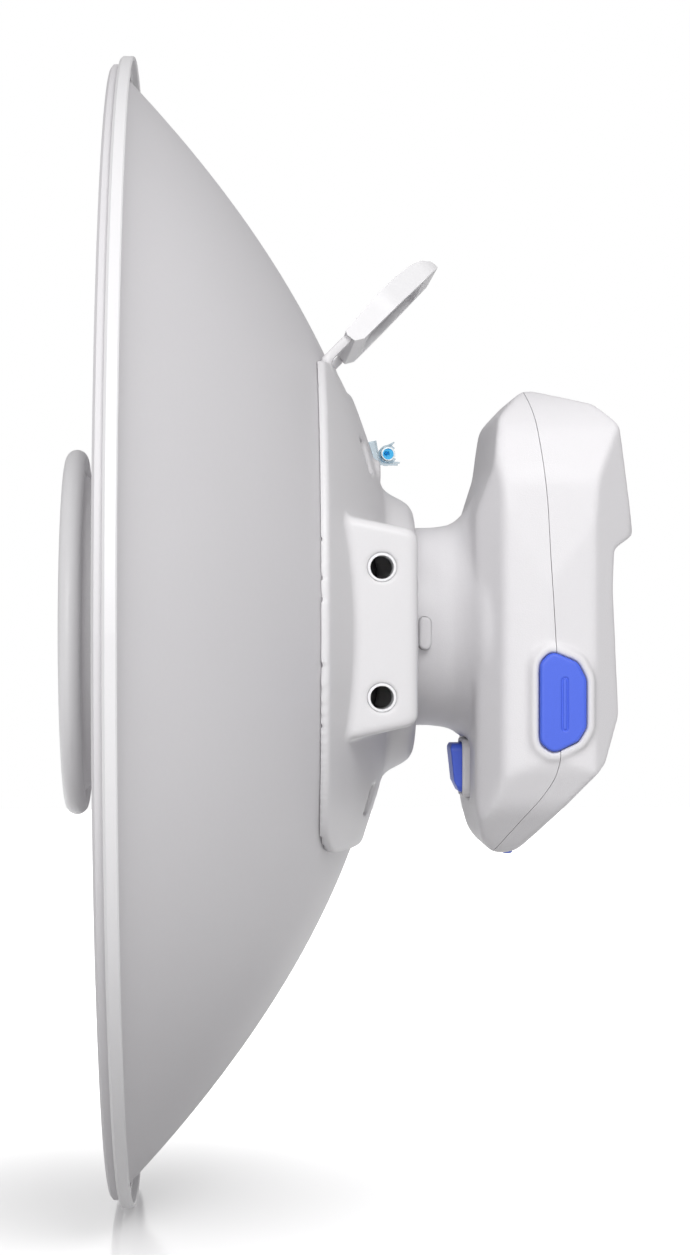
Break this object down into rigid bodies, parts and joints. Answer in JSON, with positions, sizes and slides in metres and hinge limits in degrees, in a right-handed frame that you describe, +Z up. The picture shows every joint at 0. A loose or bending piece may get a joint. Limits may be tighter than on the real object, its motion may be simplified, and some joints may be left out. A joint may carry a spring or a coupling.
{
  "type": "outdoor wireless bridge",
  "caption": "Deep white parabolic dish with a front sub-reflector, a rear mount housing with threaded sides and a hook, and a plug-in radio unit with blue port plugs.",
  "frame": {"origin": "on the dish axis, midway between the four threaded side holes of the mount housing", "axes": "+Z up, -Y along the beam away from the dish, +Y to the radio unit, +X to the side with the network port"},
  "size_m": [0.4129, 0.2023, 0.413],
  "materials": {
    "dish_white": "satin white powder coat",
    "rim_white": "satin white",
    "cap_white": "satin white",
    "cone_grey": "light grey, satin",
    "raw_aluminium": "machined",
    "housing_white": "white glass-filled nylon, satin",
    "steel": "plated steel",
    "insert_grey": "satin grey coat",
    "hook_white": "white glass-filled nylon, satin",
    "clip_clear": "translucent",
    "vial_clear": "clear acrylic",
    "fluid_blue": "cyan-blue level fluid",
    "bubble": "air bubble",
    "radio_white": "fine matt texture, white",
    "plug_blue": "royal blue, satin",
    "seal_black": "silicone",
    "board_green": "solder mask",
    "tin": "tinned steel",
    "brass": "turned",
    "jack_black": "moulded",
    "ceramic_patch": "ceramic-filled patch",
    "light_clear": "clear light pipe"
  },
  "bodies": {
    "antenna": {"dish_reflector": "dish_white", "rim_ring": "rim_white", "subreflector_cap": "cap_white", "subreflector": "raw_aluminium", "feed_cone": "cone_grey", "feed_horn": "raw_aluminium", "feed_hub": "raw_aluminium", "feed_hub_screws": "steel", "feed_clamp_ring": "steel", "dish_screws": "steel", "mount_housing": "housing_white", "side_thread_inserts": "insert_grey", "hook_handle": "hook_white", "hook_screws": "steel", "level_clip": "clip_clear", "level_vial": "vial_clear", "level_fluid": "fluid_blue", "level_bubble": "bubble"},
    "radio_unit": {"radio_front_shell": "radio_white", "radio_rear_shell": "radio_white", "shell_gasket": "seal_black", "neck_seal": "seal_black", "rear_shell_screws": "steel", "status_light_pipes": "light_clear", "release_spring": "steel", "port_frame_front": "radio_white", "main_board": "board_green", "rf_board": "board_green", "rf_shield_can": "tin", "cpu_shield_can": "tin", "heat_sink": "raw_aluminium", "waveguide_adapter": "raw_aluminium", "board_standoffs": "brass", "board_screws": "steel", "ethernet_jack": "tin", "sfp_cage": "tin", "power_socket": "jack_black", "gps_antenna": "ceramic_patch", "backup_antenna": "board_green", "reset_switch": "jack_black"},
    "release_button": {"release_button": "radio_white"},
    "right_plug": {"port_plug_right": "plug_blue", "port_seal_right": "seal_black"},
    "left_plug": {"port_plug_left": "plug_blue", "port_seal_left": "seal_black"},
    "front_plug": {"port_plug_front": "plug_blue", "port_seal_front": "seal_black"},
    "bottom_plug": {"port_plug_bottom": "plug_blue"}
  },
  "joints": [
    {"name": "radio_slide", "type": "slide", "parent": "antenna", "child": "radio_unit", "axis": [0, 1, 0], "range_m": [0, 0.03]},
    {"name": "release_press", "type": "slide", "parent": "radio_unit", "child": "release_button", "axis": [-1, 0, 0], "range_m": [0, 0.0015], "stiffness_N_per_m": 500, "springref_m": -0.001, "deforming": ["release_spring"]},
    {"name": "right_plug_pull", "type": "slide", "parent": "radio_unit", "child": "right_plug", "axis": [1, 0, 0], "range_m": [0, 0.014]},
    {"name": "left_plug_pull", "type": "slide", "parent": "radio_unit", "child": "left_plug", "axis": [-1, 0, 0], "range_m": [0, 0.014]},
    {"name": "front_plug_pull", "type": "slide", "parent": "radio_unit", "child": "front_plug", "axis": [0, -1, 0], "range_m": [0, 0.01]},
    {"name": "bottom_plug_pull", "type": "slide", "parent": "radio_unit", "child": "bottom_plug", "axis": [0, 0, -1], "range_m": [0, 0.01]}
  ]
}
